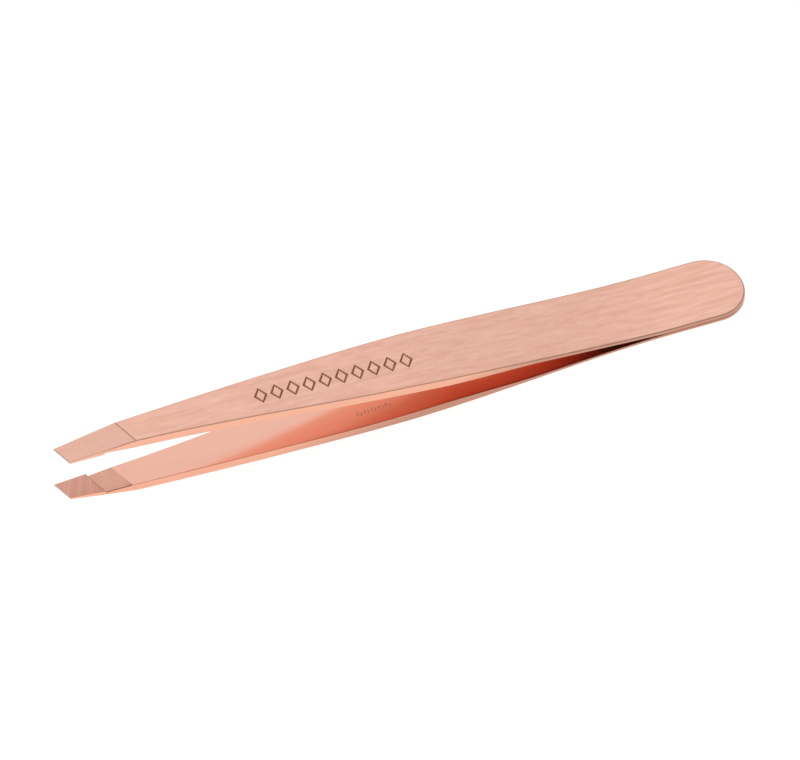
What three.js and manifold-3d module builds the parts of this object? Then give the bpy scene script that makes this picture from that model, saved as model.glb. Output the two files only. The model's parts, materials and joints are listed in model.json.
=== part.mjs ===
// Slant-tip tweezers: two arms of hardened stainless strip, mirror images of each other, spot-welded at the butt.
// Millimetres, +Z up. The arms are drawn about the tweezers' own middle plane, with the end of the butt at x = 0
// and the tips towards -x. "Reach" is the distance forward from the end of the butt, so x = -reach.
// Both arms are then laid down together, as tweezers lie on a table: on the butt and on one arm's flat grip.
import * as THREE from 'three';
import { mergeVertices } from 'three/addons/utils/BufferGeometryUtils.js';
import Module from 'manifold-3d';

const LENGTH = 95.25;
const SLANT = THREE.MathUtils.degToRad(25);

// The butt is rounded by two arcs that meet a little to the near side of the middle.
const BUTT_FAR_RADIUS = 5.38;
const BUTT_NEAR_RADIUS = 4.38;
const BUTT_HALF_WIDTH = (BUTT_FAR_RADIUS + BUTT_NEAR_RADIUS) / 2;

// The joint: both arms lie flat against each other from the butt to JOINT_REACH, held by spot welds.
const JOINT_REACH = 12;
const STRIP_THICKNESS = 0.6;
const FACING_GAP = 0.02;
const BUTT_HALF_HEIGHT = STRIP_THICKNESS + FACING_GAP;

// The flat of the grip on each outer face. It lines up with the butt, and both are lapped level by LAPPED,
// so that the tweezers lie steady on them.
const GRIP_START = 51.5;
const GRIP_END = 57.5;
const GRIP_HALF_HEIGHT = 4.306;
const GRIP_SLOPE = (GRIP_HALF_HEIGHT - BUTT_HALF_HEIGHT) / GRIP_END;
const LAPPED = 0.04;

// The jaws: a ground bevel outside, and inside a relief behind a narrow pad that meets the other arm's pad.
const TIP_HALF_GAP = 3.73;
const TIP_EDGE = 0.3;
const TIP_HALF_WIDTH = 1.41;
const CREST_HALF_HEIGHT = 5.43;
const INSIDE_HALF_HEIGHT = 4.08;
const BEVEL_REACH = 85.8;
const RELIEF_REACH = 86.4;
const RELIEF_FLOOR = 4.33;
const PAD_REACH = 90.05;
const PAD_HEEL_HALF_GAP = 3.65;

const WELD_REACHES = { weld_nugget_rear: 3.6, weld_nugget_front: 8.6 };
const WELD_RADIUS = 1.5;
const WELD_HALF_HEIGHT = 0.2;
const WELD_CLEARANCE = 0.04;
const WELD_SIDES = 24;

const CURVE_STEPS = 10;
const BEYOND = 10;

// Knots are [reach, offset from the middle, slope]: the half-width of the outline, seen from above,
// and the half-heights of the outer and inner faces, seen from the side.
const OUTLINE = [
  [BUTT_FAR_RADIUS, BUTT_HALF_WIDTH, 0],
  [20, 4.78, -0.008],
  [42, 4.62, -0.02],
  [60, 3.72, -0.075],
  [78, 2.4, -0.067],
  [86, 1.93, -0.056],
  [LENGTH, TIP_HALF_WIDTH, -0.05],
];
const OUTER_FACE = [
  [0, BUTT_HALF_HEIGHT, 0],
  [10, BUTT_HALF_HEIGHT, 0],
  [31.5, 2.14, 0.0985],
  [GRIP_START, GRIP_HALF_HEIGHT - GRIP_SLOPE * (GRIP_END - GRIP_START), GRIP_SLOPE],
  [GRIP_END, GRIP_HALF_HEIGHT, GRIP_SLOPE],
  [84.5, CREST_HALF_HEIGHT, 0],
  [LENGTH + BEYOND, CREST_HALF_HEIGHT, 0],
];
const INNER_FACE = [
  [JOINT_REACH, FACING_GAP, 0.056],
  [29, 1.3, 0.085],
  [44, 1.89, 0.085],
  [GRIP_END, 2.85, 0.062],
  [83, 4.01, 0.02],
  [(RELIEF_REACH + PAD_REACH) / 2, INSIDE_HALF_HEIGHT, 0],
];

const wasm = await Module();
wasm.setup();

function solidOf(geometry) {
  geometry.deleteAttribute('normal');
  geometry.deleteAttribute('uv');
  const merged = mergeVertices(geometry, 1e-4);
  return new wasm.Manifold(new wasm.Mesh({
    numProp: 3,
    vertProperties: new Float32Array(merged.attributes.position.array),
    triVerts: new Uint32Array(merged.index.array),
  }));
}

function geometryOf(solid) {
  const { vertProperties, triVerts } = solid.getMesh();
  const geometry = new THREE.BufferGeometry();
  geometry.setAttribute('position', new THREE.BufferAttribute(vertProperties, 3));
  geometry.setIndex(new THREE.BufferAttribute(triVerts, 1));
  geometry.computeVertexNormals();
  return geometry;
}

// Carries a path from the first knot to the last in cubic stretches, on one side of the middle.
function follow(path, knots, side) {
  for (let i = 1; i < knots.length; i += 1) {
    const [reachFrom, offsetFrom, slopeFrom] = knots[i - 1];
    const [reachTo, offsetTo, slopeTo] = knots[i];
    const third = (reachTo - reachFrom) / 3;
    path.bezierCurveTo(
      -(reachFrom + third), side * (offsetFrom + slopeFrom * third),
      -(reachTo - third), side * (offsetTo - slopeTo * third),
      -reachTo, side * offsetTo,
    );
  }
}

// A side view, drawn in x and z, carried far out to both sides and turned about the vertical through the butt.
function across(shape, turn) {
  const depth = 2 * LENGTH;
  const geometry = new THREE.ExtrudeGeometry(shape, { depth, bevelEnabled: false, curveSegments: CURVE_STEPS });
  geometry.rotateX(Math.PI / 2);
  geometry.translate(0, depth / 2, 0);
  geometry.rotateZ(turn);
  return solidOf(geometry);
}

// The outline seen from above: round butt, long taper, and the tip cut on the slant with its far corner foremost.
function outlineSolid() {
  const middle = BUTT_NEAR_RADIUS - BUTT_HALF_WIDTH;
  const shape = new THREE.Shape();
  shape.moveTo(-BUTT_NEAR_RADIUS, -BUTT_HALF_WIDTH);
  shape.absarc(-BUTT_NEAR_RADIUS, middle, BUTT_NEAR_RADIUS, -Math.PI / 2, 0, false);
  shape.absarc(-BUTT_FAR_RADIUS, middle, BUTT_FAR_RADIUS, 0, Math.PI / 2, false);
  follow(shape, OUTLINE, 1);
  const setBack = 2 * TIP_HALF_WIDTH * Math.tan(SLANT);
  const near = OUTLINE.slice(0, -1);
  near.push([LENGTH - setBack, TIP_HALF_WIDTH, OUTLINE.at(-1)[2]]);
  shape.lineTo(-(LENGTH - setBack), -TIP_HALF_WIDTH);
  follow(shape, near.reverse(), -1);
  const depth = 4 * CREST_HALF_HEIGHT;
  const geometry = new THREE.ExtrudeGeometry(shape, { depth, bevelEnabled: false, curveSegments: CURVE_STEPS });
  geometry.translate(0, 0, -depth / 2);
  return solidOf(geometry);
}

// The arm's side view with the pad left proud at the tip. The pads are a little closer at the heel than they
// will be once the arms bend, so the very tips meet first.
function sideView(side) {
  const stepReach = INNER_FACE.at(-1)[0];
  const padSlope = (TIP_HALF_GAP - PAD_HEEL_HALF_GAP) / (LENGTH - PAD_REACH);
  const padAt = (reach) => PAD_HEEL_HALF_GAP + padSlope * (reach - PAD_REACH);
  const shape = new THREE.Shape();
  shape.moveTo(0, side * FACING_GAP);
  shape.lineTo(0, side * BUTT_HALF_HEIGHT);
  follow(shape, OUTER_FACE, side);
  shape.lineTo(-(LENGTH + BEYOND), side * padAt(LENGTH + BEYOND));
  shape.lineTo(-stepReach, side * padAt(stepReach));
  shape.lineTo(-stepReach, side * INSIDE_HALF_HEIGHT);
  follow(shape, INNER_FACE.slice().reverse(), side);
  shape.closePath();
  return shape;
}

// A cutter whose edges run parallel to the slanted tip. Points are [reach on the centre line, half-height].
function slantedCutter(points, side) {
  const shape = new THREE.Shape(points.map(
    ([reach, height]) => new THREE.Vector2(-reach * Math.cos(SLANT), side * height),
  ));
  return across(shape, SLANT);
}

function bevelCutter(side) {
  const tipReach = LENGTH - TIP_HALF_WIDTH * Math.tan(SLANT);
  const tipHeight = TIP_HALF_GAP + TIP_EDGE;
  const fall = (CREST_HALF_HEIGHT - tipHeight) / (tipReach - BEVEL_REACH);
  const farReach = LENGTH + BEYOND;
  const farHeight = CREST_HALF_HEIGHT - fall * (farReach - BEVEL_REACH);
  const above = CREST_HALF_HEIGHT + BEYOND;
  return slantedCutter(
    [[BEVEL_REACH, CREST_HALF_HEIGHT], [farReach, farHeight], [farReach, above], [BEVEL_REACH, above]],
    side,
  );
}

function reliefCutter(side) {
  return slantedCutter(
    [[RELIEF_REACH, 0], [PAD_REACH, 0], [PAD_REACH, RELIEF_FLOOR], [RELIEF_REACH, INSIDE_HALF_HEIGHT]],
    side,
  );
}

// What is left of an arm once its grip and the end of its butt are lapped to one plane.
function lappedSide(side) {
  const planeAt = (reach) => BUTT_HALF_HEIGHT - LAPPED + GRIP_SLOPE * reach;
  const shape = new THREE.Shape();
  shape.moveTo(1, 0);
  shape.lineTo(1, side * planeAt(-1));
  shape.lineTo(-(LENGTH + BEYOND), side * planeAt(LENGTH + BEYOND));
  shape.lineTo(-(LENGTH + BEYOND), 0);
  shape.closePath();
  return across(shape, 0);
}

function weldDisc(reach, radius, halfHeight) {
  const geometry = new THREE.CylinderGeometry(radius, radius, 2 * halfHeight, WELD_SIDES);
  geometry.rotateX(Math.PI / 2);
  geometry.translate(-reach, 0, 0);
  return solidOf(geometry);
}

function armGeometry(side) {
  let arm = outlineSolid().intersect(across(sideView(side), 0)).intersect(lappedSide(side));
  arm = arm.subtract(bevelCutter(side)).subtract(reliefCutter(side));
  for (const reach of Object.values(WELD_REACHES)) {
    arm = arm.subtract(weldDisc(reach, WELD_RADIUS + WELD_CLEARANCE, WELD_HALF_HEIGHT + WELD_CLEARANCE));
  }
  return geometryOf(arm);
}

const coatedSteel = { color: '#e2ac96', roughness: 0.35, metalness: 1 };
const weldSteel = { color: '#b9866f', roughness: 0.55, metalness: 1 };

function piece(name, geometry, finish) {
  const mesh = new THREE.Mesh(geometry, new THREE.MeshStandardMaterial(finish));
  mesh.name = name;
  return mesh;
}

const tweezers = new THREE.Group();
tweezers.add(piece('arm_upper', armGeometry(1), coatedSteel));
tweezers.add(piece('arm_lower', armGeometry(-1), coatedSteel));
for (const [name, reach] of Object.entries(WELD_REACHES)) {
  tweezers.add(piece(name, geometryOf(weldDisc(reach, WELD_RADIUS, WELD_HALF_HEIGHT)), weldSteel));
}

// Laid on the table: turned until the lower arm's grip and the butt touch it, with the origin under the middle.
tweezers.rotation.y = Math.atan(GRIP_SLOPE);
const bounds = new THREE.Box3().setFromObject(tweezers, true);
tweezers.position.set(-(bounds.min.x + bounds.max.x) / 2, -(bounds.min.y + bounds.max.y) / 2, -bounds.min.z);

const lying = new THREE.Group();
lying.add(tweezers);

export default lying;
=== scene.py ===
"""Slant-tip tweezers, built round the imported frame.

The shape tables are in millimetres, in the tweezers' own middle plane: "reach" is the distance forward from the
end of the butt, and the offsets are half-widths and half-heights. LAY turns that plane to how the tweezers lie.
"""

import json
import math

import bpy
from bpy.props import (
    FloatProperty,
    FloatVectorProperty,
    IntProperty,
    PointerProperty,
)
from mathutils import Matrix, Vector

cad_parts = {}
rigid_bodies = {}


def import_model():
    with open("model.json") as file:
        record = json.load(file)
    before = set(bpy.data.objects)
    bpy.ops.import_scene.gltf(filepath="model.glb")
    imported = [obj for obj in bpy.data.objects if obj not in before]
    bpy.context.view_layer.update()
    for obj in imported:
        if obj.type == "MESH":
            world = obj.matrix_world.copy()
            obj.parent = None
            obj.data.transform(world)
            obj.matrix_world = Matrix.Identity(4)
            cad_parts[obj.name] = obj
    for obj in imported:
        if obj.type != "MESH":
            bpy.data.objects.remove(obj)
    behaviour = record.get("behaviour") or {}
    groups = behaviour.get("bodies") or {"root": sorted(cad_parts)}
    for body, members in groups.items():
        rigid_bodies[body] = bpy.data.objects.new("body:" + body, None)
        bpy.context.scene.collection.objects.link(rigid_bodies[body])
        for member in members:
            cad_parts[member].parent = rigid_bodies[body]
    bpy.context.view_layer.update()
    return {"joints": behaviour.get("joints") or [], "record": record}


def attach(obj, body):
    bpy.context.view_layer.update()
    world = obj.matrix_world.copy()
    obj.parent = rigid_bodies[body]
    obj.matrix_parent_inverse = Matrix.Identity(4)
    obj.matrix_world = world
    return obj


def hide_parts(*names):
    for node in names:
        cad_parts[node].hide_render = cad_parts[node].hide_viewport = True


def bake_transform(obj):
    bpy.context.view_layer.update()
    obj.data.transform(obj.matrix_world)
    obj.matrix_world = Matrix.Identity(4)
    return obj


bl_info = {
    "name": "Slant Tweezers",
    "version": (1, 0, 0),
    "blender": (4, 5, 0),
    "location": "View3D > Sidebar > Tweezers",
    "description": "Builds spot-welded slant-tip tweezers and their table",
    "category": "Object",
}

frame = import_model()

MM = 0.001
MICRON = 0.000001
MOUNTS = {mount["name"]: mount for mount in frame["record"]["mounts"]}
ROOT_BODY = frame["joints"][0]["parent"]
HINGE = Vector(frame["joints"][0]["pos_m"])
HINGE_REACH = 12.0

# The upper grip leans one way and the table face the other by the same angle from the middle plane.
THUMB_AXIS = Vector(MOUNTS["thumb_face"]["axis"])
TILT = math.atan2(THUMB_AXIS.x, THUMB_AXIS.z) / 2
LAY = (
    Matrix.Translation(HINGE)
    @ Matrix.Rotation(TILT, 4, "Y")
    @ Matrix.Translation((HINGE_REACH * MM, 0, 0))
)

# From the upper arm straight towards the lower one.
DOWN = -(LAY.to_3x3() @ Vector((0, 0, 1)))

# The outline seen from above: a butt rounded by two arcs, and tips cut on the slant.
LENGTH = 95.25
SLANT = math.radians(25)
BUTT_FAR_RADIUS = 5.38
BUTT_NEAR_RADIUS = 4.38
BUTT_MIDDLE = -0.5
TIP_HALF_WIDTH = 1.41
TIP_REACH = LENGTH - TIP_HALF_WIDTH * math.tan(SLANT)

# The butt and the grip, whose outer faces are lapped to one plane.
BUTT_HALF_HEIGHT = 0.62
FACING_GAP = 0.02
GRIP_START = 51.5
GRIP_END = 57.5
GRIP_HALF_HEIGHT = 4.306
GRIP_SLOPE = (GRIP_HALF_HEIGHT - BUTT_HALF_HEIGHT) / GRIP_END
LAPPED_HALF_HEIGHT = BUTT_HALF_HEIGHT - 0.04

# The strips part over this span of reach, round the front edge of the joint.
PARTING = (HINGE_REACH - 0.6, HINGE_REACH + 2)

# The jaws: a bevel outside, and a relief and a pad inside. The pad falls towards its near side at the heel.
CREST = 5.43
BEVEL_REACH = 85.8
RELIEF_REACH = 86.4
RELIEF_FLOOR = 4.33
INSIDE = 4.08
PAD_REACH = 90.05
PAD_HEEL = 3.65
PAD_FALL = 0.36
PAD_HALF_WIDTH = 1.7
TIP_HALF_GAP = 3.73
TIP_EDGE = 0.3

# Knots are [reach, offset, slope], joined by cubic stretches. The faces run on past the tip, as far as BEYOND.
BEYOND = 105
FAR_OUTLINE = [
    (BUTT_FAR_RADIUS, 4.88, 0),
    (20, 4.78, -0.008),
    (42, 4.62, -0.02),
    (60, 3.72, -0.075),
    (78, 2.4, -0.067),
    (86, 1.93, -0.056),
    (LENGTH, TIP_HALF_WIDTH, -0.05),
]
NEAR_OUTLINE = FAR_OUTLINE[:-1] + [
    (LENGTH - 2 * TIP_HALF_WIDTH * math.tan(SLANT), TIP_HALF_WIDTH, -0.05)
]
OUTER_FACE = [
    (0, BUTT_HALF_HEIGHT, 0),
    (10, BUTT_HALF_HEIGHT, 0),
    (31.5, 2.14, 0.0985),
    (GRIP_START, GRIP_HALF_HEIGHT - (GRIP_END - GRIP_START) * GRIP_SLOPE, GRIP_SLOPE),
    (GRIP_END, GRIP_HALF_HEIGHT, GRIP_SLOPE),
    (84.5, CREST, 0),
    (BEYOND, CREST, 0),
]

# The spot welds: reach of each nugget, its size, and the dished pocket round it in both arms.
WELDS = {"weld_nugget_rear": 3.6, "weld_nugget_front": 8.6}
WELD_RADIUS = 1.5
WELD_HALF_THICKNESS = 0.2
POCKET_RADIUS = 1.62
POCKET_DEPTH = 0.24

# Zones of the surface, in the order of the materials.
# Two zones hold painted shade: the corner zone darkens the seam's crevice, the burr line and the pad's heel, and the
# struck zone, besides colouring the marks, darkens the bevel groove and the heel's broken edge.
BRUSHED, EDGE, POLISHED, GROUND, BEVEL, RELIEF, STRUCK_AND_LINE_SHADE, CORNER_SHADE, TIP, WELD = range(10)
FINISH_NAMES = (
    "brushed coat",
    "edge coat",
    "polished coat",
    "ground coat",
    "bevel coat",
    "relief coat",
    "struck coat and line shade",
    "painted shade in corners",
    "tip coat",
    "weld metal",
)


# ---------------------------------------------------------------- settings


def length_property(name, description, millimetres, **limits):
    """A length in the panel, given here in millimetres."""
    return FloatProperty(
        name=name,
        description=description,
        default=millimetres * MM,
        min=0,
        precision=6,
        unit="LENGTH",
        **limits,
    )


def colour_property(name, description, colour):
    """A colour in the panel, in linear light."""
    return FloatVectorProperty(
        name=name,
        description=description,
        default=colour,
        size=3,
        min=0,
        max=1,
        subtype="COLOR",
    )


def share_property(name, description, share):
    """A share from 0 to 1 in the panel."""
    return FloatProperty(
        name=name,
        description=description,
        default=share,
        min=0,
        max=1,
        subtype="FACTOR",
    )


class TweezersArmSettings(bpy.types.PropertyGroup):
    """Sizes of the strip's edges and of how finely the arms are meshed."""

    outer_round: length_property("Outer rounding", "Tumbled radius of the edges round the outer face", 0.2)
    inner_round: length_property("Inner rounding", "Radius of the edges round the inner face", 0.07)
    tip_round: length_property("Tip rounding", "Radius of the edges at the ground tip", 0.045)
    seam_gap: length_property("Seam gap", "Half of the gap left between the welded strips", 0.004)
    edge_crown: length_property("Edge crown", "How far the middle of the side walls stands proud", 0.02)
    columns: IntProperty(
        name="Columns",
        description="Faces across the strip",
        default=28,
        min=8,
        max=60,
    )


class TweezersMarkSettings(bpy.types.PropertyGroup):
    """Sizes of the rows of struck marks."""

    grip_count: IntProperty(name="Grip marks", description="Lozenges struck along the grip", default=10, min=1, max=30)
    grip_start: length_property("Grip row start", "Reach of the first lozenge", 46.9)
    grip_spacing: length_property("Grip spacing", "Distance from lozenge to lozenge", 2.24)
    grip_length: length_property("Lozenge length", "Size of a lozenge along the arm", 1.55)
    grip_width: length_property("Lozenge width", "Size of a lozenge across the arm", 2.2)
    grip_stroke: length_property("Lozenge stroke", "Half-width and depth of a lozenge's stroke", 0.19)
    ring_count: IntProperty(name="Rings", description="Rings struck inside the lower arm", default=5, min=1, max=20)
    ring_start: length_property("Ring row start", "Reach of the first ring", 50.1)
    ring_spacing: length_property("Ring spacing", "Distance from ring to ring", 0.98)
    ring_offset: length_property("Ring row offset", "How far the rings lie from the middle, to the near side", 1.85)
    ring_size: length_property("Ring size", "Diameter of a ring", 0.62)
    ring_stroke: length_property("Ring stroke", "Half-width and depth of a ring's stroke", 0.07)


class TweezersFinishSettings(bpy.types.PropertyGroup):
    """Colours and roughness of the coated steel."""

    coat: colour_property("Coating", "Rose-gold coating on the brushed faces", (1.0, 0.60, 0.475))
    coat_shade: colour_property("Coating in the brush lines", "Deeper tone in the brush lines", (0.91, 0.51, 0.39))
    edge: colour_property("Edge coating", "Coating on the side walls and rounded edges", (0.90, 0.46, 0.32))
    worn: colour_property("Worn edge", "Coating rubbed thin on the rounded edges", (0.80, 0.49, 0.385))
    inside: colour_property("Inside coating", "Coating on the polished inner faces", (0.89, 0.495, 0.385))
    ground: colour_property("Ground pads", "Coating over the ground pads", (0.875, 0.46, 0.357))
    relief: colour_property("Reliefs", "Coating over the reliefs behind the pads", (0.87, 0.49, 0.37))
    # Besides colouring the struck marks, this darker colour paints shade into the bevel groove and the pad heel's
    # broken edge.
    struck: colour_property("Struck marks", "Coating in the struck marks", (0.70, 0.41, 0.32))
    # Painted shade: a dark colour where shade falls in the seam's crevice, along the burr and in the pad's heel.
    corner_shade: colour_property("Corner shade", "Painted shade in the pad's heel, along the burr and in the seam", (0.45, 0.23, 0.17))
    tip: colour_property("Tip edge", "Coating ground thin on the slanted end of the tips", (0.60, 0.46, 0.40))
    weld: colour_property("Weld metal", "Fused steel of the spot welds", (0.50, 0.46, 0.43))
    brushed_roughness: share_property("Brushed roughness", "Roughness of the outer faces", 0.36)
    polished_roughness: share_property("Polished roughness", "Roughness of the inner faces", 0.2)
    edge_roughness: share_property("Edge roughness", "Roughness of the tumbled edges", 0.26)
    ground_roughness: share_property("Ground roughness", "Roughness of the ground faces", 0.42)


class TweezersStudioSettings(bpy.types.PropertyGroup):
    """Camera and light. The camera's angles are about the tweezers' own middle plane."""

    azimuth: FloatProperty(
        name="Azimuth",
        description="Camera turned about the upright, from straight in front of the long side",
        default=math.radians(-19.35),
        subtype="ANGLE",
    )
    elevation: FloatProperty(
        name="Elevation",
        description="Camera above the middle plane",
        default=math.radians(53.1),
        subtype="ANGLE",
    )
    roll: FloatProperty(
        name="Roll", description="Camera turned about its own axis", default=math.radians(-0.17), subtype="ANGLE"
    )
    distance: length_property("Distance", "From the camera to the tweezers", 2500)
    view_width: length_property("View width", "Width that the view takes in at the tweezers", 104.97)
    aim_reach: length_property("Aim reach", "Reach of the point that the camera is centred near", 47.6)
    floor_size: length_property("Floor size", "Side of the table top", 12000)
    floor: colour_property("Table top", "Pale table top", (0.50, 0.50, 0.50))
    glow: FloatProperty(name="Table glow", description="How brightly the table is lit from below", default=0.8, min=0)
    room: FloatProperty(name="Room", description="Brightness of the studio all round", default=0.56, min=0)
    softbox: FloatProperty(
        name="Softbox", description="Brightness of the soft light over the far side", default=1.09, min=0
    )


GROUPS = {
    "tweezers_arm": TweezersArmSettings,
    "tweezers_marks": TweezersMarkSettings,
    "tweezers_finish": TweezersFinishSettings,
    "tweezers_studio": TweezersStudioSettings,
}


# ---------------------------------------------------------------- shape of the arms


def follow(knots, reach):
    """Offset at a reach along the cubic stretches between the knots."""
    if reach <= knots[0][0]:
        return knots[0][1]
    for (r0, y0, m0), (r1, y1, m1) in zip(knots, knots[1:]):
        if reach <= r1:
            break
    h = r1 - r0
    t = (reach - r0) / h
    return (
        (2 * t**3 - 3 * t**2 + 1) * y0
        + (t**3 - 2 * t**2 + t) * h * m0
        + (3 * t**2 - 2 * t**3) * y1
        + (t**3 - t**2) * h * m1
    )


def ease(low, high, value):
    """0 below low, 1 above high, smooth between."""
    t = min(1.0, max(0.0, (value - low) / (high - low)))
    return t * t * (3 - 2 * t)


def blend_between(a, b, share):
    return a + (b - a) * share


INNER_FACE_AHEAD = [
    (HINGE_REACH, FACING_GAP, 0.056),
    (29, 1.3, 0.085),
    (44, 1.89, 0.085),
    (GRIP_END, 2.85, 0.062),
    (83, 4.01, 0.02),
    ((RELIEF_REACH + PAD_REACH) / 2, INSIDE, 0),
    (BEYOND, INSIDE, 0),
]
# The fillet at the foot of the pad's heel, then the heel itself and its broken edge:
# [reach on the centre line, share of the climb].
HEEL = [
    (PAD_REACH - 0.26, 0),
    (PAD_REACH - 0.13, 0.03),
    (PAD_REACH - 0.05, 0.13),
    (PAD_REACH - 0.03, 0.3),
    (PAD_REACH - 0.015, 0.82),
    (PAD_REACH + 0.01, 0.92),
    (PAD_REACH + 0.06, 0.98),
    (PAD_REACH + 0.16, 1),
]
# The pad's heel corner over this span is painted dark as shade.
HEEL_SHADE = (PAD_REACH - 0.13, PAD_REACH + 0.01)
# The outer bevel starts with a fine groove where the wheel bit in: [reach on the centre line, depth].
BEVEL_GROOVE = [(85.72, 0), (85.77, 0.045), (85.81, 0.045), (85.88, 0)]


def piecewise(knots, value):
    """Straight stretches between the knots, level beyond them."""
    if value <= knots[0][0]:
        return knots[0][1]
    for (x0, y0), (x1, y1) in zip(knots, knots[1:]):
        if value < x1:
            return blend_between(y0, y1, (value - x0) / (x1 - x0))
    return knots[-1][1]


def centre_reach(x, y):
    """Reach on the centre line of the slanted line through a point."""
    return -x - y * math.tan(SLANT)


def outer_height(x, y):
    """Half-height of the outer face at a point."""
    reach = -x
    height = min(follow(OUTER_FACE, max(0, reach)), LAPPED_HALF_HEIGHT + GRIP_SLOPE * reach)
    along = centre_reach(x, y)
    fall = (CREST - TIP_HALF_GAP - TIP_EDGE) / (TIP_REACH - BEVEL_REACH)
    return min(height, CREST - fall * (along - BEVEL_REACH)) - piecewise(BEVEL_GROOVE, along)


def weld_pocket(x, y):
    """Height of the dished pocket that holds a weld nugget."""
    for reach in WELDS.values():
        apart = math.hypot(x + reach, y)
        if apart < POCKET_RADIUS:
            return POCKET_DEPTH * (1 - (apart / POCKET_RADIUS) ** 2)
    return 0


def inner_height(x, y, seam):
    """Half-height of the inner face at a point."""
    reach = -x
    height = follow(INNER_FACE_AHEAD, reach)
    if reach < PARTING[1]:
        return blend_between(seam, height, ease(*PARTING, reach)) + weld_pocket(x, y)
    along = centre_reach(x, y)
    if along > RELIEF_REACH:
        rise = (RELIEF_FLOOR - INSIDE) / (PAD_REACH - RELIEF_REACH)
        height = max(height, INSIDE + rise * (min(along, PAD_REACH) - RELIEF_REACH))
    if along > HEEL[0][0]:
        pad = PAD_HEEL + (TIP_HALF_GAP - PAD_HEEL) / (LENGTH - PAD_REACH) * (reach - PAD_REACH)
        to_near = min(1.0, max(0.0, 0.5 - y / (2 * PAD_HALF_WIDTH)))
        pad += PAD_FALL * to_near * max(0.0, (TIP_REACH - along) / (TIP_REACH - PAD_REACH))
        height = blend_between(height, pad, piecewise(HEEL, along))
    return height


# Rounds in which the two ends of a slanted row settle on the outline.
SLANT_ROUNDS = 12


class Row:
    """A line across the strip, from its far edge to its near one, drawn in x and y.

    Round the butt it is given by its turn about the two arcs. Ahead of them it is given by its reach on the
    centre line and by the share of the tip's slant that it takes.
    """

    def __init__(self, along, share=None, turn=None):
        self.along = along
        self.turn = turn
        if turn is None:
            lean = share * math.tan(SLANT)
            far = near = along
            for _ in range(SLANT_ROUNDS):
                far = along + follow(FAR_OUTLINE, far) * lean
                near = along - follow(NEAR_OUTLINE, near) * lean
            self.far = Vector((-far, follow(FAR_OUTLINE, far)))
            self.near = Vector((-near, -follow(NEAR_OUTLINE, near)))
            self.far_normal = self.outline_normal(FAR_OUTLINE, far, 1)
            self.near_normal = self.outline_normal(NEAR_OUTLINE, near, -1)

    @staticmethod
    def outline_normal(outline, reach, side):
        slope = (follow(outline, reach + 0.01) - follow(outline, reach - 0.01)) / 0.02
        return Vector((slope, side)).normalized()

    def ends(self, far_inset, near_inset):
        """Both ends of the row, drawn in from the outline."""
        if self.turn is not None:
            c, s = math.cos(self.turn), math.sin(self.turn)
            far_radius = BUTT_FAR_RADIUS - far_inset
            near_radius = BUTT_NEAR_RADIUS - near_inset
            far = Vector((-BUTT_FAR_RADIUS + far_radius * c, BUTT_MIDDLE + far_radius * s))
            near = Vector((-BUTT_NEAR_RADIUS + near_radius * c, BUTT_MIDDLE - near_radius * s))
            return far, near
        across = (self.near - self.far).normalized()
        far = self.far + across * far_inset / abs(across.dot(self.far_normal))
        near = self.near - across * near_inset / abs(across.dot(self.near_normal))
        return far, near


# Rows round a quarter of the butt, rows over the stretch where they lean from square to slanted, and the
# step between the square ones. The joint and the jaws have closer rows, listed by reach.
BUTT_ROWS = 20
LEANING_ROWS = 22
ROW_STEP = 1.1
SQUARE_END = 57
SLANTED_START = 82.5
JOINT_ROWS = [6.1, 7.1, 7.7, 8.2, 8.8, 9.4, 9.9, 10.3, 10.8, 11.4, 12, 12.6, 13.2, 13.9]
BEVEL_ROWS = [83.4, 84.3, 85.1, 85.5, 85.62, 86.0, 86.15, 86.3]
RELIEF_ROWS = [86.4, 86.45, 86.7, 87.2, 87.8, 88.4, 89.0, 89.5]
PAD_ROWS = [90.35, 90.7, 91.2, 91.8, 92.4, 93.1, 93.7, 94.1, 94.3, 94.42]


def arm_rows():
    """The rows of an arm from the butt to just short of the tip."""
    rows = [Row(0, turn=math.radians(90) * i / BUTT_ROWS) for i in range(1, BUTT_ROWS + 1)]
    reaches = list(JOINT_ROWS)
    while reaches[-1] < SQUARE_END:
        reaches.append(reaches[-1] + ROW_STEP)
    rows += [Row(reach, share=0) for reach in reaches]
    leaning_start = reaches[-1]
    for i in range(1, LEANING_ROWS + 1):
        reach = blend_between(leaning_start, SLANTED_START, i / LEANING_ROWS)
        rows.append(Row(reach, share=ease(leaning_start, SLANTED_START, reach)))
    cut = [reach for reach, _ in BEVEL_GROOVE + HEEL]
    return rows + [Row(reach, share=1) for reach in sorted(BEVEL_ROWS + RELIEF_ROWS + PAD_ROWS + cut)]


# Roundings are drawn in this many steps. Beside the seam they have a radius of their own, which gives way to
# the inner rounding over SEAM_SPAN, and the jaws' edges turn crisp over TIP_SPAN.
ROUNDING_STEPS = 6
SEAM_ROUND = 0.09
SEAM_SPAN = (HINGE_REACH - 1, HINGE_REACH + 5)
TIP_SPAN = (84, 92)
TIP_INNER_SHARE = 0.7
# The side walls are crowned from the end of the first span to the start of the second.
CROWN_RISE = (HINGE_REACH, HINGE_REACH + 8)
CROWN_FALL = (84, 90)
CROWN_STEPS = (0.25, 0.5, 0.75)


def rounding_at(settings, reach):
    """Outer and inner edge radii at a reach, in millimetres."""
    tip = settings.tip_round / MM
    to_tip = ease(*TIP_SPAN, reach)
    outer = blend_between(settings.outer_round / MM, tip, to_tip)
    ahead = blend_between(settings.inner_round / MM, TIP_INNER_SHARE * tip, to_tip)
    return outer, blend_between(SEAM_ROUND, ahead, ease(*SEAM_SPAN, reach))


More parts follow.
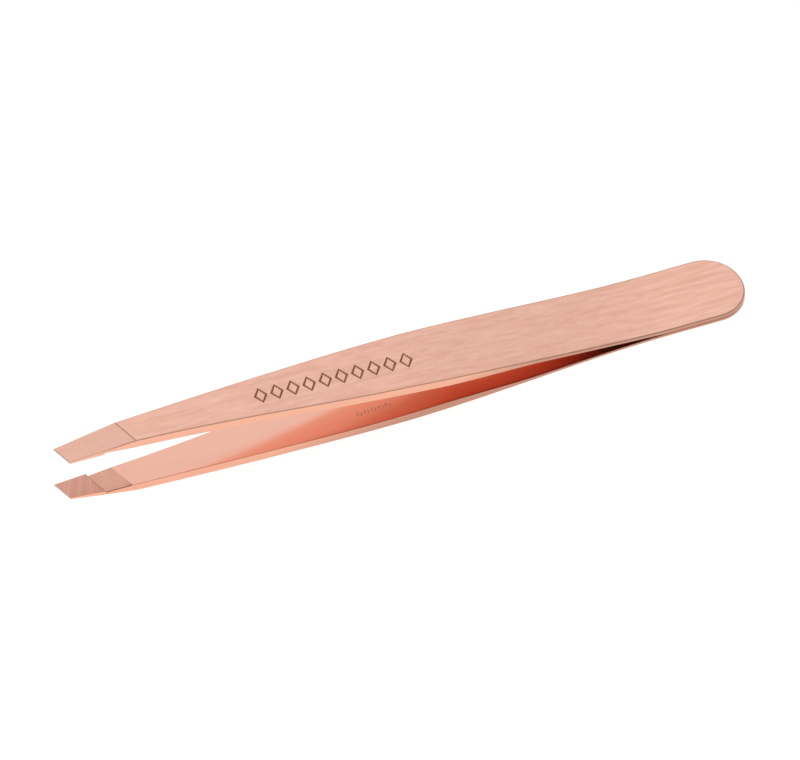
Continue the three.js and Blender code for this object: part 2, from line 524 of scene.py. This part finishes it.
def edge_profile(settings, reach):
    """The edge of the strip at a reach, from the outer face to the inner one.

    Each point is [inset, face it hangs from, drop, roundness]: face 0 is the outer one, face 1 the inner one,
    and shares between them lie on the side wall.
    """
    outer, inner = rounding_at(settings, reach)
    crown = settings.edge_crown / MM * ease(*CROWN_RISE, reach) * (1 - ease(*CROWN_FALL, reach))
    profile = []
    for i in range(ROUNDING_STEPS + 1):
        a = math.radians(90) * i / ROUNDING_STEPS
        profile.append((crown + outer * (1 - math.sin(a)), 0.0, outer * (1 - math.cos(a)), math.sin(2 * a)))
    for down in CROWN_STEPS:
        profile.append((crown * (2 * down - 1) ** 2, down, 0.0, 0.0))
    for i in range(ROUNDING_STEPS, -1, -1):
        a = math.radians(90) * i / ROUNDING_STEPS
        profile.append((crown + inner * (1 - math.sin(a)), 1.0, inner * (1 - math.cos(a)), math.sin(2 * a)))
    return profile


def arm_mesh(name, side, settings, materials):
    """One whole arm as a closed mesh, above the middle plane for side 1 and below it for side -1."""
    columns = settings.columns
    seam = settings.seam_gap / MM
    rows = arm_rows()
    rings = len(edge_profile(settings, 0))
    points, edge_share = [], []

    def place(x, y, face, drop, roundness):
        """Adds a point of an edge profile over a point of the plan, and gives its number."""
        top, bottom = outer_height(x, y), inner_height(x, y, seam)
        outer, inner = rounding_at(settings, -x)
        if face == 0:
            height = top - drop
        elif face == 1:
            height = bottom + drop
        else:
            height = blend_between(top - outer, bottom + inner, face)
        points.append(LAY @ (Vector((x, y, side * height)) * MM))
        edge_share.append(roundness)
        return len(points) - 1

    def level(ring):
        """The ends of every row at one ring of the edge profile, with the tip row last."""
        ends = []
        for row in rows:
            probe_far, probe_near = row.ends(0, 0)
            far = edge_profile(settings, -probe_far.x)[ring]
            near = edge_profile(settings, -probe_near.x)[ring]
            ends.append((*row.ends(far[0], near[0]), far, near))
        tip = edge_profile(settings, LENGTH)[ring]
        row = Row(TIP_REACH - tip[0] / math.cos(SLANT), share=1)
        ends.append((*row.ends(tip[0], tip[0]), tip, tip))
        return ends

    loops = []
    for ring in range(rings):
        ends = level(ring)
        butt = edge_profile(settings, 0)[ring]
        loop = [place(-butt[0], BUTT_MIDDLE, *butt[1:])]
        loop += [place(far.x, far.y, *on_far[1:]) for far, _, on_far, _ in ends]
        tip_far, tip_near, tip, _ = ends[-1]
        for i in range(1, columns):
            p = tip_far.lerp(tip_near, i / columns)
            loop.append(place(p.x, p.y, *tip[1:]))
        loop += [place(near.x, near.y, *on_near[1:]) for _, near, _, on_near in reversed(ends)]
        loops.append(loop)

    faces, zones = [], []

    def add(corners, zone, flip):
        """Adds a face in a zone, turned over where the arm or the face looks down."""
        faces.append(corners[::-1] if flip else corners)
        zones.append(zone)

    count = len(loops[0])
    back = LAY.inverted()
    loop_reaches = [-(back @ points[i]).x / MM for i in loops[0]]
    mirrored = side < 0
    for ring in range(rings - 1):
        for i in range(count):
            j = (i + 1) % count
            corners = [loops[ring][i], loops[ring][j], loops[ring + 1][j], loops[ring + 1][i]]
            # The roundings beside the seam are painted dark as shade in the crevice.
            on_seam = ring >= rings - 1 - ROUNDING_STEPS and loop_reaches[i] < PARTING[1]
            on_tip = len(rows) + 1 <= i <= len(rows) + columns
            add(corners, TIP if on_tip else CORNER_SHADE if on_seam else EDGE, mirrored)

    def face_grid(ring, face, zone_of, flip):
        """Fills an outer or inner face inside its innermost ring."""
        loop = loops[ring]
        total = len(rows) + 1
        ends = level(ring)
        before = None
        for k in range(total):
            far, near = ends[k][0], ends[k][1]
            line = [loop[1 + k]]
            if k < total - 1:
                for i in range(1, columns):
                    p = far.lerp(near, i / columns)
                    line.append(place(p.x, p.y, face, 0.0, 0.0))
            else:
                line += loop[1 + total : 1 + total + columns - 1]
            line.append(loop[count - 1 - k])
            if 0 < k < len(rows):
                zone = zone_of((rows[k].along + rows[k - 1].along) / 2)
            else:
                zone = zone_of(TIP_REACH if k else 0)
            if before is None:
                for i in range(columns):
                    add([loop[0], line[i + 1], line[i]], zone, flip)
            else:
                for i in range(columns):
                    # The last column of the relief, along the burr, is painted dark as shade.
                    burr = zone == RELIEF and i == columns - 1
                    add([before[i], before[i + 1], line[i + 1], line[i]], CORNER_SHADE if burr else zone, flip)
            before = line

    def outer_zone(along):
        if along < BEVEL_GROOVE[0][0]:
            return BRUSHED
        # The bevel groove takes the struck marks' darker colour as painted shade.
        return STRUCK_AND_LINE_SHADE if along < BEVEL_GROOVE[-1][0] else BEVEL

    def inner_zone(along):
        if along < RELIEF_REACH:
            return POLISHED
        if along < HEEL[0][0]:
            return RELIEF
        # The heel's corner is painted dark as shade; its broken edge takes the struck marks' colour as painted shade.
        if HEEL_SHADE[0] < along < HEEL_SHADE[1]:
            return CORNER_SHADE
        return STRUCK_AND_LINE_SHADE if along < HEEL[-1][0] else GROUND

    face_grid(0, 0, outer_zone, mirrored)
    face_grid(rings - 1, 1, inner_zone, not mirrored)

    mesh = bpy.data.meshes.new(name)
    mesh.from_pydata(points, [], faces)
    for material in materials:
        mesh.materials.append(material)
    mesh.polygons.foreach_set("material_index", zones)
    mesh.attributes.new("edge", "FLOAT", "POINT").data.foreach_set("value", edge_share)
    mesh.update()
    return mesh


def shade(mesh, angle=30):
    """Smooth shading with creases kept sharp."""
    mesh.polygons.foreach_set("use_smooth", [True] * len(mesh.polygons))
    mesh.set_sharp_from_angle(angle=math.radians(angle))


def show(name, mesh):
    """Links a mesh into the scene under a name."""
    obj = bpy.data.objects.new(name, mesh)
    bpy.context.scene.collection.objects.link(obj)
    return obj


def discard(obj):
    mesh = obj.data
    bpy.data.objects.remove(obj)
    bpy.data.meshes.remove(mesh)


def baked(obj):
    """The evaluated mesh of an object, as a plain mesh."""
    graph = bpy.context.evaluated_depsgraph_get()
    graph.update()
    return bpy.data.meshes.new_from_object(obj.evaluated_get(graph), depsgraph=graph)


# ---------------------------------------------------------------- struck marks

STRUCK_ROW = "Struck row"
STRUCK_ROW_INPUTS = {
    "Surface": "NodeSocketObject",
    "Count": "NodeSocketInt",
    "Start": "NodeSocketVector",
    "Step": "NodeSocketVector",
    "Direction": "NodeSocketVector",
    "Sides": "NodeSocketInt",
    "Size": "NodeSocketVector",
    "Stroke": "NodeSocketFloat",
    "Finish": "NodeSocketMaterial",
}
LOZENGE_SIDES = 4
RING_SIDES = 14
# Where the rays that find the surface start, above the middle plane, and how far they reach.
RAY_START = 20
RAY_LENGTH = 50


def link(tree, outlet, inlet):
    tree.links.new(outlet, inlet)


def marks_tree():
    """Geometry nodes: a row of outlines with a V-shaped stroke, set into a surface and square to it."""
    tree = bpy.data.node_groups.new(STRUCK_ROW, "GeometryNodeTree")
    tree.interface.new_socket("Geometry", in_out="OUTPUT", socket_type="NodeSocketGeometry")
    for label, kind in STRUCK_ROW_INPUTS.items():
        tree.interface.new_socket(label, in_out="INPUT", socket_type=kind)

    def node(kind, **values):
        made = tree.nodes.new(kind)
        for key, value in values.items():
            setattr(made, key, value)
        return made

    given = node("NodeGroupInput").outputs
    line = node("GeometryNodeMeshLine", mode="OFFSET")
    link(tree, given["Count"], line.inputs["Count"])
    link(tree, given["Start"], line.inputs["Start Location"])
    link(tree, given["Step"], line.inputs["Offset"])

    surface = node("GeometryNodeObjectInfo")
    link(tree, given["Surface"], surface.inputs["Object"])
    ray = node("GeometryNodeRaycast")
    link(tree, surface.outputs["Geometry"], ray.inputs["Target Geometry"])
    link(tree, given["Direction"], ray.inputs["Ray Direction"])
    ray.inputs["Ray Length"].default_value = RAY_LENGTH * MM

    outline = node("GeometryNodeCurvePrimitiveCircle")
    link(tree, given["Sides"], outline.inputs["Resolution"])
    outline.inputs["Radius"].default_value = 0.5
    stretched = node("GeometryNodeTransform")
    link(tree, outline.outputs["Curve"], stretched.inputs["Geometry"])
    link(tree, given["Size"], stretched.inputs["Scale"])
    stroke = node("GeometryNodeCurvePrimitiveCircle")
    stroke.inputs["Resolution"].default_value = 4
    link(tree, given["Stroke"], stroke.inputs["Radius"])
    punch = node("GeometryNodeCurveToMesh")
    link(tree, stretched.outputs["Geometry"], punch.inputs["Curve"])
    link(tree, stroke.outputs["Curve"], punch.inputs["Profile Curve"])

    align = node("FunctionNodeAlignRotationToVector", axis="Z")
    link(tree, ray.outputs["Hit Normal"], align.inputs["Vector"])
    scatter = node("GeometryNodeInstanceOnPoints")
    link(tree, line.outputs["Mesh"], scatter.inputs["Points"])
    link(tree, punch.outputs["Mesh"], scatter.inputs["Instance"])
    link(tree, align.outputs["Rotation"], scatter.inputs["Rotation"])

    here = node("GeometryNodeInputPosition")
    down = node("ShaderNodeVectorMath", operation="SUBTRACT")
    link(tree, ray.outputs["Hit Position"], down.inputs[0])
    link(tree, here.outputs["Position"], down.inputs[1])
    drop = node("GeometryNodeTranslateInstances")
    link(tree, scatter.outputs["Instances"], drop.inputs["Instances"])
    link(tree, down.outputs["Vector"], drop.inputs["Translation"])
    drop.inputs["Local Space"].default_value = False

    real = node("GeometryNodeRealizeInstances")
    link(tree, drop.outputs["Instances"], real.inputs["Geometry"])
    finish = node("GeometryNodeSetMaterial")
    link(tree, real.outputs["Geometry"], finish.inputs["Geometry"])
    link(tree, given["Finish"], finish.inputs["Material"])
    out = node("NodeGroupOutput")
    link(tree, finish.outputs["Geometry"], out.inputs["Geometry"])
    return tree


def strike(mesh, values):
    """Cuts a row of struck marks into an arm's mesh and returns the new mesh."""
    arm = show("arm_blank", mesh)
    tree = bpy.data.node_groups.get(STRUCK_ROW) or marks_tree()
    punches = show("punches", bpy.data.meshes.new("punches"))
    modifier = punches.modifiers.new(STRUCK_ROW, "NODES")
    modifier.node_group = tree
    sockets = {item.name: item.identifier for item in tree.interface.items_tree if item.in_out == "INPUT"}
    modifier[sockets["Surface"]] = arm
    for key, value in values.items():
        modifier[sockets[key]] = value
    punch_mesh = baked(punches)
    if not punch_mesh.polygons:
        raise RuntimeError("the struck marks missed the arm")
    punches.modifiers.clear()
    old = punches.data
    punches.data = punch_mesh
    bpy.data.meshes.remove(old)
    cut = arm.modifiers.new("Strike", "BOOLEAN")
    cut.operation = "DIFFERENCE"
    cut.solver = "EXACT"
    cut.material_mode = "TRANSFER"
    cut.object = punches
    struck = baked(arm)
    arm.modifiers.clear()
    discard(punches)
    discard(arm)
    return struck


# ---------------------------------------------------------------- finishes

EDGE_WEAR = 0.6
BURNISHED_SHARE = 0.6
# Painted shade: the side walls' coating is darker where this product with the position, in metres, is small, which is
# low
# down towards the butt: its own tone from the second of the limits up, and the shade share times the coating from the
# first one down.
PAINTED_SHADE_ALONG = (-46, 0, 250)
PAINTED_SHADE_LIMITS = (0.2, 1.1)
PAINTED_SHADE_SHARE = 0.6
GRAIN_INPUTS = {"Turn": 0.0, "Along": 120.0, "Across": 7000.0, "Waver": 0.0, "Contrast": 1.0}


def feed(tree, inlets, values):
    """Gives inlets their values in order. Each is a plain value or a socket to link."""
    for inlet, value in zip(inlets, values):
        if isinstance(value, bpy.types.NodeSocket):
            link(tree, value, inlet)
        else:
            inlet.default_value = value


def reckoned(tree, operation, *values, clamp=False):
    """The result of a Math node."""
    node = tree.nodes.new("ShaderNodeMath")
    node.operation = operation
    node.use_clamp = clamp
    feed(tree, node.inputs, values)
    return node.outputs["Value"]


def vector_reckoned(tree, operation, first, second):
    """The result of a Vector Math node."""
    node = tree.nodes.new("ShaderNodeVectorMath")
    node.operation = operation
    feed(tree, node.inputs, (first, second))
    return node.outputs["Value" if operation == "DOT_PRODUCT" else "Vector"]


def ranged(tree, value, from_min, from_max, to_min, to_max):
    """A value carried from one range to another, level beyond it."""
    node = tree.nodes.new("ShaderNodeMapRange")
    feed(tree, node.inputs, (value, from_min, from_max, to_min, to_max))
    return node.outputs["Result"]


def noise(tree, vector, scale, detail, roughness=0.5):
    """The value of a noise texture."""
    node = tree.nodes.new("ShaderNodeTexNoise")
    node.inputs["Scale"].default_value = scale
    node.inputs["Detail"].default_value = detail
    node.inputs["Roughness"].default_value = roughness
    link(tree, vector, node.inputs["Vector"])
    return node.outputs["Fac"]


def shader_group(name, numbers, results):
    """A new shader node group that takes a Vector and the named numbers: the tree, its inputs and its outputs."""
    tree = bpy.data.node_groups.new(name, "ShaderNodeTree")
    tree.interface.new_socket("Vector", in_out="INPUT", socket_type="NodeSocketVector")
    for label, default in numbers.items():
        socket = tree.interface.new_socket(label, in_out="INPUT", socket_type="NodeSocketFloat")
        socket.default_value = default
    for label in results:
        tree.interface.new_socket(label, in_out="OUTPUT", socket_type="NodeSocketFloat")
    return tree, tree.nodes.new("NodeGroupInput").outputs, tree.nodes.new("NodeGroupOutput").inputs


def grain_group():
    """Shader nodes: fine lines left by a belt or a wheel, with broader streaks over them."""
    name = "Linear grain"
    if name in bpy.data.node_groups:
        return bpy.data.node_groups[name]
    tree, given, results = shader_group(name, GRAIN_INPUTS, ("Height", "Streaks"))
    turn = tree.nodes.new("ShaderNodeVectorRotate")
    turn.rotation_type = "Z_AXIS"
    link(tree, given["Vector"], turn.inputs["Vector"])
    link(tree, given["Turn"], turn.inputs["Angle"])
    turned = turn.outputs["Vector"]

    # A slow sideways drift, so that the lines waver instead of being ruled.
    centred = reckoned(tree, "SUBTRACT", noise(tree, turned, scale=90, detail=1), 0.5)
    shift = tree.nodes.new("ShaderNodeCombineXYZ")
    link(tree, reckoned(tree, "MULTIPLY", centred, given["Waver"]), shift.inputs["Y"])
    moved = vector_reckoned(tree, "ADD", turned, shift.outputs["Vector"])

    scales = tree.nodes.new("ShaderNodeCombineXYZ")
    feed(tree, scales.inputs, (given["Along"], given["Across"], given["Across"]))
    stretched = vector_reckoned(tree, "MULTIPLY", moved, scales.outputs["Vector"])
    fine = noise(tree, stretched, scale=1, detail=3, roughness=0.6)
    broad = noise(tree, stretched, scale=0.27, detail=2)
    spread = reckoned(tree, "SUBTRACT", reckoned(tree, "ADD", fine, broad), 1.0)
    link(tree, fine, results["Height"])
    link(
        tree,
        reckoned(tree, "MULTIPLY_ADD", spread, given["Contrast"], 0.5, clamp=True),
        results["Streaks"],
    )
    return tree


def wear_group():
    """Shader nodes: where tumbling and handling have burnished the rounded edges."""
    name = "Edge wear"
    if name in bpy.data.node_groups:
        return bpy.data.node_groups[name]
    tree, given, results = shader_group(name, {"Edge": 0.0, "Amount": 0.5}, ("Mask",))
    patches = noise(tree, given["Vector"], scale=900, detail=3)
    uneven = ranged(tree, patches, 0.3, 0.7, 0.5, 1.0)
    share = reckoned(tree, "MULTIPLY", uneven, given["Edge"])
    link(tree, reckoned(tree, "MULTIPLY", share, given["Amount"], clamp=True), results["Mask"])
    return tree


def blended(tree, share, first, second):
    """A colour between two, each given as a colour or as a socket."""
    mix = tree.nodes.new("ShaderNodeMix")
    mix.data_type = "RGBA"
    link(tree, share, mix.inputs[0])
    inlets = [socket for socket in mix.inputs if socket.type == "RGBA"]
    for inlet, given in zip(inlets, (first, second)):
        if isinstance(given, tuple):
            inlet.default_value = (*given, 1)
        else:
            link(tree, given, inlet)
    return next(socket for socket in mix.outputs if socket.type == "RGBA")


def steel(name, base, shade_colour, roughness, grain, bump, swing, worn_colour=None):
    """A coated or bare steel with a linear grain. Bump is in metres and swing is how far the roughness varies.

    With a worn colour the coating is rubbed thin on rounded edges, and painted shade darkens it low down towards the
    butt.
    """
    material = bpy.data.materials.new(name)
    material.use_nodes = True
    tree = material.node_tree
    nodes = tree.nodes
    surface = nodes["Principled BSDF"]
    surface.inputs["Metallic"].default_value = 1
    coords = nodes.new("ShaderNodeTexCoord").outputs["Object"]
    lines = nodes.new("ShaderNodeGroup")
    lines.node_tree = grain_group()
    link(tree, coords, lines.inputs["Vector"])
    for key, value in grain.items():
        lines.inputs[key].default_value = value
    streaks = lines.outputs["Streaks"]
    colour = blended(tree, streaks, shade_colour, base)
    rough = ranged(tree, streaks, 0.0, 1.0, roughness + swing, roughness - swing)
    if worn_colour:
        edge = nodes.new("ShaderNodeAttribute")
        edge.attribute_name = "edge"
        worn = nodes.new("ShaderNodeGroup")
        worn.node_tree = wear_group()
        worn.inputs["Amount"].default_value = EDGE_WEAR
        link(tree, coords, worn.inputs["Vector"])
        link(tree, edge.outputs["Fac"], worn.inputs["Edge"])
        burnished = nodes.new("ShaderNodeMix")
        feed(
            tree,
            (burnished.inputs[0], burnished.inputs[2], burnished.inputs[3]),
            (worn.outputs["Mask"], rough, roughness * BURNISHED_SHARE),
        )
        rough = burnished.outputs[0]
        # Painted shade: the walls grow darker low down towards the butt, where they would reflect the table in their
        # own shadow.
        rise = vector_reckoned(tree, "DOT_PRODUCT", coords, PAINTED_SHADE_ALONG)
        depth = ranged(tree, rise, *PAINTED_SHADE_LIMITS, 1.0, 0.0)
        colour = blended(tree, depth, colour, tuple(PAINTED_SHADE_SHARE * c for c in base))
        colour = blended(tree, worn.outputs["Mask"], colour, worn_colour)
    relief = nodes.new("ShaderNodeBump")
    relief.inputs["Distance"].default_value = bump
    link(tree, lines.outputs["Height"], relief.inputs["Height"])
    link(tree, colour, surface.inputs["Base Color"])
    link(tree, rough, surface.inputs["Roughness"])
    link(tree, relief.outputs["Normal"], surface.inputs["Normal"])
    return material


def finishes():
    """The materials in the order of the zones, made once."""
    made = [bpy.data.materials.get(name) for name in FINISH_NAMES]
    if all(made):
        return made
    look = bpy.context.scene.tweezers_finish
    lengthwise = {"Along": 80.0, "Across": 6500.0, "Waver": 0.0007, "Contrast": 1.9}
    edge = {"Along": 200.0, "Across": 5000.0, "Waver": 0.0, "Contrast": 0.9}
    polished = {"Along": 260.0, "Across": 9000.0, "Waver": 0.0004, "Contrast": 0.8}
    crosswise = {"Turn": math.radians(-70), "Along": 300.0, "Across": 9000.0, "Waver": 0.0, "Contrast": 1.5}
    blotched = {"Turn": 0.0, "Along": 1500.0, "Across": 3000.0, "Waver": 0.0004, "Contrast": 0.9}
    bevel = {"Turn": 0.0, "Along": 300.0, "Across": 8000.0, "Waver": 0.0, "Contrast": 1.2}

    def tones(colour, share):
        """A colour and a deeper tone of it."""
        return tuple(colour), tuple(share * c for c in colour)

    brushed_rough, edge_rough, ground_rough = look.brushed_roughness, look.edge_roughness, look.ground_roughness
    # Coating, its deeper tone, roughness, grain, bump, swing of the roughness and, on the edges, the worn coating.
    coats = (
        (tuple(look.coat), tuple(look.coat_shade), brushed_rough, lengthwise, 2.5 * MICRON, 0.06),
        (*tones(look.edge, 0.9), edge_rough, edge, 1.2 * MICRON, 0.04, tuple(look.worn)),
        (*tones(look.inside, 0.95), look.polished_roughness, polished, 0.5 * MICRON, 0.03),
        (*tones(look.ground, 0.8), ground_rough, crosswise, 4 * MICRON, 0.06),
        (*tones(look.coat, 0.92), ground_rough, bevel, 3 * MICRON, 0.06),
        (*tones(look.relief, 0.85), ground_rough, blotched, 3 * MICRON, 0.06),
        (*tones(look.struck, 0.8), 0.45, edge, 2 * MICRON, 0.05),
        (*tones(look.corner_shade, 0.7), 0.5, blotched, 3 * MICRON, 0.05),
        (*tones(look.tip, 0.85), ground_rough, edge, 2 * MICRON, 0.05),
        (*tones(look.weld, 0.7), 0.55, edge, 6 * MICRON, 0.1),
    )
    return [steel(name, *coat) for name, coat in zip(FINISH_NAMES, coats)]


# ---------------------------------------------------------------- operators


def at_reach(reach, y=0.0, height=0.0):
    """A point of the middle plane's frame, in the row frame. The reach, y and height are in metres."""
    return LAY @ Vector((-reach, y, height))


def finish_arm(name, mesh, node):
    """Shades an arm, shows it in place of its imported part and bakes its transform."""
    mesh.name = name
    shade(mesh)
    arm = show(name, mesh)
    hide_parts(node)
    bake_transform(arm)
    return arm


class TWEEZERS_OT_upper_arm(bpy.types.Operator):
    """Builds the upper arm with its struck grip marks"""

    bl_idname = "tweezers.upper_arm"
    bl_label = "Upper arm"

    def execute(self, context):
        settings, marks = context.scene.tweezers_arm, context.scene.tweezers_marks
        zones = finishes()
        mesh = arm_mesh("upper_arm_strip", 1, settings, zones[:WELD])
        above = RAY_START * MM
        start = at_reach(marks.grip_start, height=above)
        step = at_reach(marks.grip_start + marks.grip_spacing, height=above) - start
        struck = strike(
            mesh,
            {
                "Count": marks.grip_count,
                "Start": start,
                "Step": step,
                "Direction": DOWN,
                "Sides": LOZENGE_SIDES,
                "Size": (marks.grip_length, marks.grip_width, 1.0),
                "Stroke": marks.grip_stroke,
                "Finish": zones[STRUCK_AND_LINE_SHADE],
            },
        )
        finish_arm("upper_arm_strip", struck, "arm_upper")
        return {"FINISHED"}


class TWEEZERS_OT_lower_arm(bpy.types.Operator):
    """Builds the lower arm with the rings struck inside it"""

    bl_idname = "tweezers.lower_arm"
    bl_label = "Lower arm"

    def execute(self, context):
        settings, marks = context.scene.tweezers_arm, context.scene.tweezers_marks
        zones = finishes()
        mesh = arm_mesh("lower_arm_strip", -1, settings, zones[:WELD])
        start = at_reach(marks.ring_start, -marks.ring_offset)
        step = at_reach(marks.ring_start + marks.ring_spacing, -marks.ring_offset) - start
        struck = strike(
            mesh,
            {
                "Count": marks.ring_count,
                "Start": start,
                "Step": step,
                "Direction": DOWN,
                "Sides": RING_SIDES,
                "Size": (marks.ring_size, marks.ring_size, 1.0),
                "Stroke": marks.ring_stroke,
                "Finish": zones[POLISHED],
            },
        )
        finish_arm("lower_arm_strip", struck, "arm_lower")
        return {"FINISHED"}


class TWEEZERS_OT_weld_nuggets(bpy.types.Operator):
    """Builds the lens-shaped nuggets of the two spot welds"""

    bl_idname = "tweezers.weld_nuggets"
    bl_label = "Weld nuggets"

    def execute(self, context):
        weld = finishes()[WELD]
        segments, rings = 40, 8
        for node, reach in WELDS.items():
            points, faces = [(0, 0, WELD_HALF_THICKNESS)], []
            for ring in range(1, 2 * rings):
                fall = math.pi * ring / (2 * rings)
                out, up = WELD_RADIUS * math.sin(fall), WELD_HALF_THICKNESS * math.cos(fall)
                for i in range(segments):
                    turn = 2 * math.pi * i / segments
                    points.append((out * math.cos(turn), out * math.sin(turn), up * math.sin(fall)))
            points.append((0, 0, -WELD_HALF_THICKNESS))
            last = len(points) - 1
            for i in range(segments):
                j = (i + 1) % segments
                faces.append((0, 1 + i, 1 + j))
                base = last - segments
                faces.append((last, base + j, base + i))
                for ring in range(2 * rings - 2):
                    a, b = 1 + ring * segments, 1 + (ring + 1) * segments
                    faces.append((a + i, b + i, b + j, a + j))
            place = LAY @ Matrix.Translation((-reach * MM, 0, 0)) @ Matrix.Scale(MM, 4)
            mesh = bpy.data.meshes.new(node + "_lens")
            mesh.from_pydata([place @ Vector(p) for p in points], [], faces)
            mesh.materials.append(weld)
            shade(mesh, 40)
            lens = show(node + "_lens", mesh)
            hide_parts(node)
            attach(lens, ROOT_BODY)
        return {"FINISHED"}


# The table top lies this far under the tweezers, so that no faces coincide.
TABLE_DROP = 30 * MICRON
# Direction of the softbox's middle, and how far it spreads from there.
SOFTBOX_DIRECTION = Vector((0.08, 0.59, 0.80)).normalized()
SOFTBOX_SPREAD = math.radians(46)
# How far the camera's aim lies to the right of the aim point and above it, in millimetres.
AIM_RIGHT = -0.13
AIM_UP = -0.26
CAMERA_CLIP = (0.01, 100)


class TWEEZERS_OT_stage(bpy.types.Operator):
    """Lays the pale table top, lights it softly and sets up the camera"""

    bl_idname = "tweezers.stage"
    bl_label = "Stage"

    def execute(self, context):
        studio = context.scene.tweezers_studio
        self.lay_floor(studio)
        self.light(context.scene, studio)
        self.aim_camera(context.scene, studio)
        return {"FINISHED"}

    def lay_floor(self, studio):
        half = studio.floor_size / 2
        corners = [(x * half, y * half, -TABLE_DROP) for x, y in ((-1, -1), (1, -1), (1, 1), (-1, 1))]
        mesh = bpy.data.meshes.new("table_top")
        mesh.from_pydata(corners, [], [(0, 1, 2, 3)])
        material = bpy.data.materials.new("pale table")
        material.use_nodes = True
        surface = material.node_tree.nodes["Principled BSDF"]
        surface.inputs["Base Color"].default_value = (*studio.floor, 1)
        surface.inputs["Roughness"].default_value = 0.9
        surface.inputs["Specular IOR Level"].default_value = 0.0
        surface.inputs["Emission Color"].default_value = (1, 1, 1, 1)
        surface.inputs["Emission Strength"].default_value = studio.glow
        mesh.materials.append(material)
        show("table_top", mesh)

    def light(self, scene, studio):
        """A dim room with one large softbox over the far side, bright in the middle and fading outwards."""
        world = bpy.data.worlds.new("soft studio")
        world.use_nodes = True
        scene.world = world
        tree = world.node_tree
        sky = tree.nodes.new("ShaderNodeTexCoord").outputs["Generated"]
        away = reckoned(tree, "ARCCOSINE", vector_reckoned(tree, "DOT_PRODUCT", sky, SOFTBOX_DIRECTION))
        fade = ranged(tree, away, 0.0, SOFTBOX_SPREAD, studio.softbox, studio.room)
        link(tree, fade, tree.nodes["Background"].inputs["Color"])
        scene.view_settings.view_transform = "Standard"
        scene.view_settings.look = "None"
        scene.cycles.max_bounces = 8
        scene.cycles.glossy_bounces = 5

    def aim_camera(self, scene, studio):
        az, el, roll = studio.azimuth, studio.elevation, studio.roll
        back = Vector((math.sin(az) * math.cos(el), -math.cos(az) * math.cos(el), math.sin(el)))
        right = Vector((math.cos(az), math.sin(az), 0))
        up = back.cross(right)
        right, up = (
            math.cos(roll) * right + math.sin(roll) * up,
            math.cos(roll) * up - math.sin(roll) * right,
        )
        aim = Vector((-studio.aim_reach, 0, 0)) + right * AIM_RIGHT * MM + up * AIM_UP * MM
        spot = aim + back * studio.distance
        pose = Matrix((right, up, back)).transposed().to_4x4()
        pose.translation = spot
        data = bpy.data.cameras.new("camera")
        data.sensor_width = 36
        data.lens = data.sensor_width * studio.distance / studio.view_width
        data.clip_start, data.clip_end = CAMERA_CLIP
        camera = bpy.data.objects.new("camera", data)
        scene.collection.objects.link(camera)
        camera.matrix_world = LAY @ pose
        scene.camera = camera


class TWEEZERS_PT_panel(bpy.types.Panel):
    """Sizes, finishes and the build steps of the tweezers"""

    bl_idname = "TWEEZERS_PT_panel"
    bl_label = "Slant Tweezers"
    bl_space_type = "VIEW_3D"
    bl_region_type = "UI"
    bl_category = "Tweezers"

    def draw(self, context):
        for key, group in GROUPS.items():
            box = self.layout.box()
            settings = getattr(context.scene, key)
            for name in group.__annotations__:
                box.prop(settings, name)
        for step in STEPS:
            self.layout.operator(step.bl_idname)


STEPS = (TWEEZERS_OT_upper_arm, TWEEZERS_OT_lower_arm, TWEEZERS_OT_weld_nuggets, TWEEZERS_OT_stage)


def register():
    for group in (*GROUPS.values(), *STEPS, TWEEZERS_PT_panel):
        bpy.utils.register_class(group)
    for key, group in GROUPS.items():
        setattr(bpy.types.Scene, key, PointerProperty(type=group))


def unregister():
    for key in GROUPS:
        delattr(bpy.types.Scene, key)
    for group in (TWEEZERS_PT_panel, *reversed(STEPS), *reversed(list(GROUPS.values()))):
        bpy.utils.unregister_class(group)


def main():
    register()
    bpy.ops.tweezers.upper_arm()
    bpy.ops.tweezers.lower_arm()
    bpy.ops.tweezers.weld_nuggets()
    bpy.ops.tweezers.stage()


if __name__ == "__main__":
    main()
